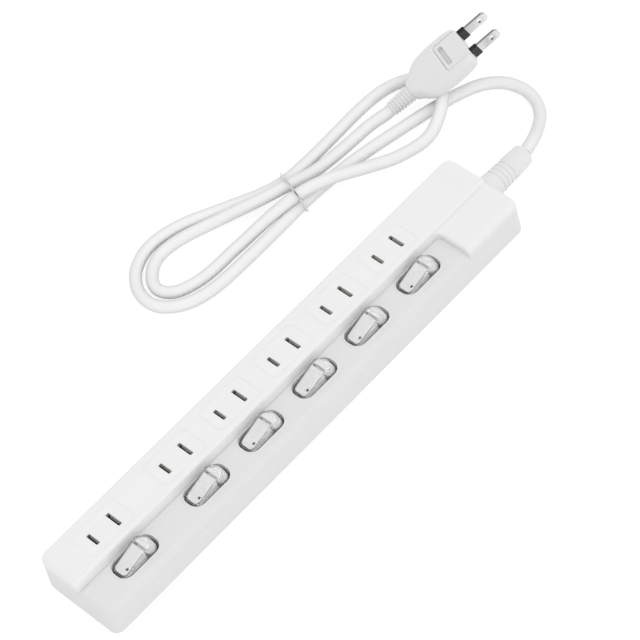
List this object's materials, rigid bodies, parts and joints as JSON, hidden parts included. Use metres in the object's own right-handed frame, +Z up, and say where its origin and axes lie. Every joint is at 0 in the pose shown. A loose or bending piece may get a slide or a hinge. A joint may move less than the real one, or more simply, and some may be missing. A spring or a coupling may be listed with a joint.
{
  "type": "power strip",
  "caption": "Power strip with a rocker switch beside each outlet, a strain-relieved mains lead tied in flat loops, and a two-blade plug.",
  "frame": {"origin": "centre of the strip's underside, at the table", "axes": "+X along the strip towards the end where the lead leaves; +Y towards the outlet side; +Z up from the table"},
  "size_m": [0.3426, 0.1385, 0.0334],
  "materials": {
    "case_plastic": "smooth white moulded ABS with a soft satin sheen",
    "frame_plastic": "off-white moulded plastic",
    "clear_rocker": "clear polished polycarbonate",
    "lamp_glass": "small glass indicator lamp",
    "brass_strip": "stamped brass strip",
    "bridge_brass": "stamped spring brass",
    "wire_dark": "black wire insulation",
    "wire_white": "white wire insulation",
    "cord_vinyl": "soft white vinyl with a low sheen",
    "relief_vinyl": "moulded soft white vinyl",
    "plug_block": "hard white moulded plastic",
    "plated_steel": "zinc plated steel",
    "plated_blade": "nickel plated brass",
    "sleeve_black": "black insulating sleeve",
    "tie_wire": "bright thin tie wire"
  },
  "bodies": {
    "case": {"lower_case": "case_plastic", "top_cover": "case_plastic", "neutral_rail": "brass_strip", "live_rail": "brass_strip", "live_contact_1": "brass_strip", "live_contact_2": "brass_strip", "live_contact_3": "brass_strip", "live_contact_4": "brass_strip", "live_contact_5": "brass_strip", "live_contact_6": "brass_strip", "switch_frame_1": "frame_plastic", "switch_frame_2": "frame_plastic", "switch_frame_3": "frame_plastic", "switch_frame_4": "frame_plastic", "switch_frame_5": "frame_plastic", "switch_frame_6": "frame_plastic", "live_wire": "wire_dark", "neutral_wire": "wire_white", "cord_tail": "cord_vinyl", "cord_clamp": "frame_plastic", "clamp_screws": "plated_steel", "case_screws": "plated_steel", "strain_relief": "relief_vinyl", "cord": "cord_vinyl", "cord_tie": "tie_wire", "plug_body": "relief_vinyl", "plug_core": "plug_block", "plug_blade_live": "plated_blade", "plug_blade_neutral": "plated_blade", "plug_sleeve_live": "sleeve_black", "plug_sleeve_neutral": "sleeve_black"},
    "rocker_body_1": {"rocker_1": "clear_rocker", "lamp_1": "lamp_glass"},
    "bridge_body_1": {"bridge_1": "bridge_brass"},
    "rocker_body_2": {"rocker_2": "clear_rocker", "lamp_2": "lamp_glass"},
    "bridge_body_2": {"bridge_2": "bridge_brass"},
    "rocker_body_3": {"rocker_3": "clear_rocker", "lamp_3": "lamp_glass"},
    "bridge_body_3": {"bridge_3": "bridge_brass"},
    "rocker_body_4": {"rocker_4": "clear_rocker", "lamp_4": "lamp_glass"},
    "bridge_body_4": {"bridge_4": "bridge_brass"},
    "rocker_body_5": {"rocker_5": "clear_rocker", "lamp_5": "lamp_glass"},
    "bridge_body_5": {"bridge_5": "bridge_brass"},
    "rocker_body_6": {"rocker_6": "clear_rocker", "lamp_6": "lamp_glass"},
    "bridge_body_6": {"bridge_6": "bridge_brass"}
  },
  "joints": [
    {"name": "rocker_1_tilt", "type": "hinge", "parent": "case", "child": "rocker_body_1", "pos_m": [-0.10725, -0.00945, 0.0124], "axis": [0, 1, 0], "range_deg": [0, 12]},
    {"name": "bridge_1_tilt", "type": "hinge", "parent": "case", "child": "bridge_body_1", "pos_m": [-0.10725, -0.00945, 0.0061], "axis": [0, 1, 0], "range_deg": [-12, 0]},
    {"name": "rocker_2_tilt", "type": "hinge", "parent": "case", "child": "rocker_body_2", "pos_m": [-0.06225, -0.00945, 0.0124], "axis": [0, 1, 0], "range_deg": [0, 12]},
    {"name": "bridge_2_tilt", "type": "hinge", "parent": "case", "child": "bridge_body_2", "pos_m": [-0.06225, -0.00945, 0.0061], "axis": [0, 1, 0], "range_deg": [-12, 0]},
    {"name": "rocker_3_tilt", "type": "hinge", "parent": "case", "child": "rocker_body_3", "pos_m": [-0.02725, -0.00945, 0.0124], "axis": [0, 1, 0], "range_deg": [0, 12]},
    {"name": "bridge_3_tilt", "type": "hinge", "parent": "case", "child": "bridge_body_3", "pos_m": [-0.02725, -0.00945, 0.0061], "axis": [0, 1, 0], "range_deg": [-12, 0]},
    {"name": "rocker_4_tilt", "type": "hinge", "parent": "case", "child": "rocker_body_4", "pos_m": [0.00775, -0.00945, 0.0124], "axis": [0, 1, 0], "range_deg": [0, 12]},
    {"name": "bridge_4_tilt", "type": "hinge", "parent": "case", "child": "bridge_body_4", "pos_m": [0.00775, -0.00945, 0.0061], "axis": [0, 1, 0], "range_deg": [-12, 0]},
    {"name": "rocker_5_tilt", "type": "hinge", "parent": "case", "child": "rocker_body_5", "pos_m": [0.04275, -0.00945, 0.0124], "axis": [0, 1, 0], "range_deg": [0, 12]},
    {"name": "bridge_5_tilt", "type": "hinge", "parent": "case", "child": "bridge_body_5", "pos_m": [0.04275, -0.00945, 0.0061], "axis": [0, 1, 0], "range_deg": [-12, 0]},
    {"name": "rocker_6_tilt", "type": "hinge", "parent": "case", "child": "rocker_body_6", "pos_m": [0.07775, -0.00945, 0.0124], "axis": [0, 1, 0], "range_deg": [0, 12]},
    {"name": "bridge_6_tilt", "type": "hinge", "parent": "case", "child": "bridge_body_6", "pos_m": [0.07775, -0.00945, 0.0061], "axis": [0, 1, 0], "range_deg": [-12, 0]}
  ],
  "couplings": [
    {"joint": "bridge_1_tilt", "follows": "rocker_1_tilt", "ratio": -1},
    {"joint": "bridge_2_tilt", "follows": "rocker_2_tilt", "ratio": -1},
    {"joint": "bridge_3_tilt", "follows": "rocker_3_tilt", "ratio": -1},
    {"joint": "bridge_4_tilt", "follows": "rocker_4_tilt", "ratio": -1},
    {"joint": "bridge_5_tilt", "follows": "rocker_5_tilt", "ratio": -1},
    {"joint": "bridge_6_tilt", "follows": "rocker_6_tilt", "ratio": -1}
  ]
}
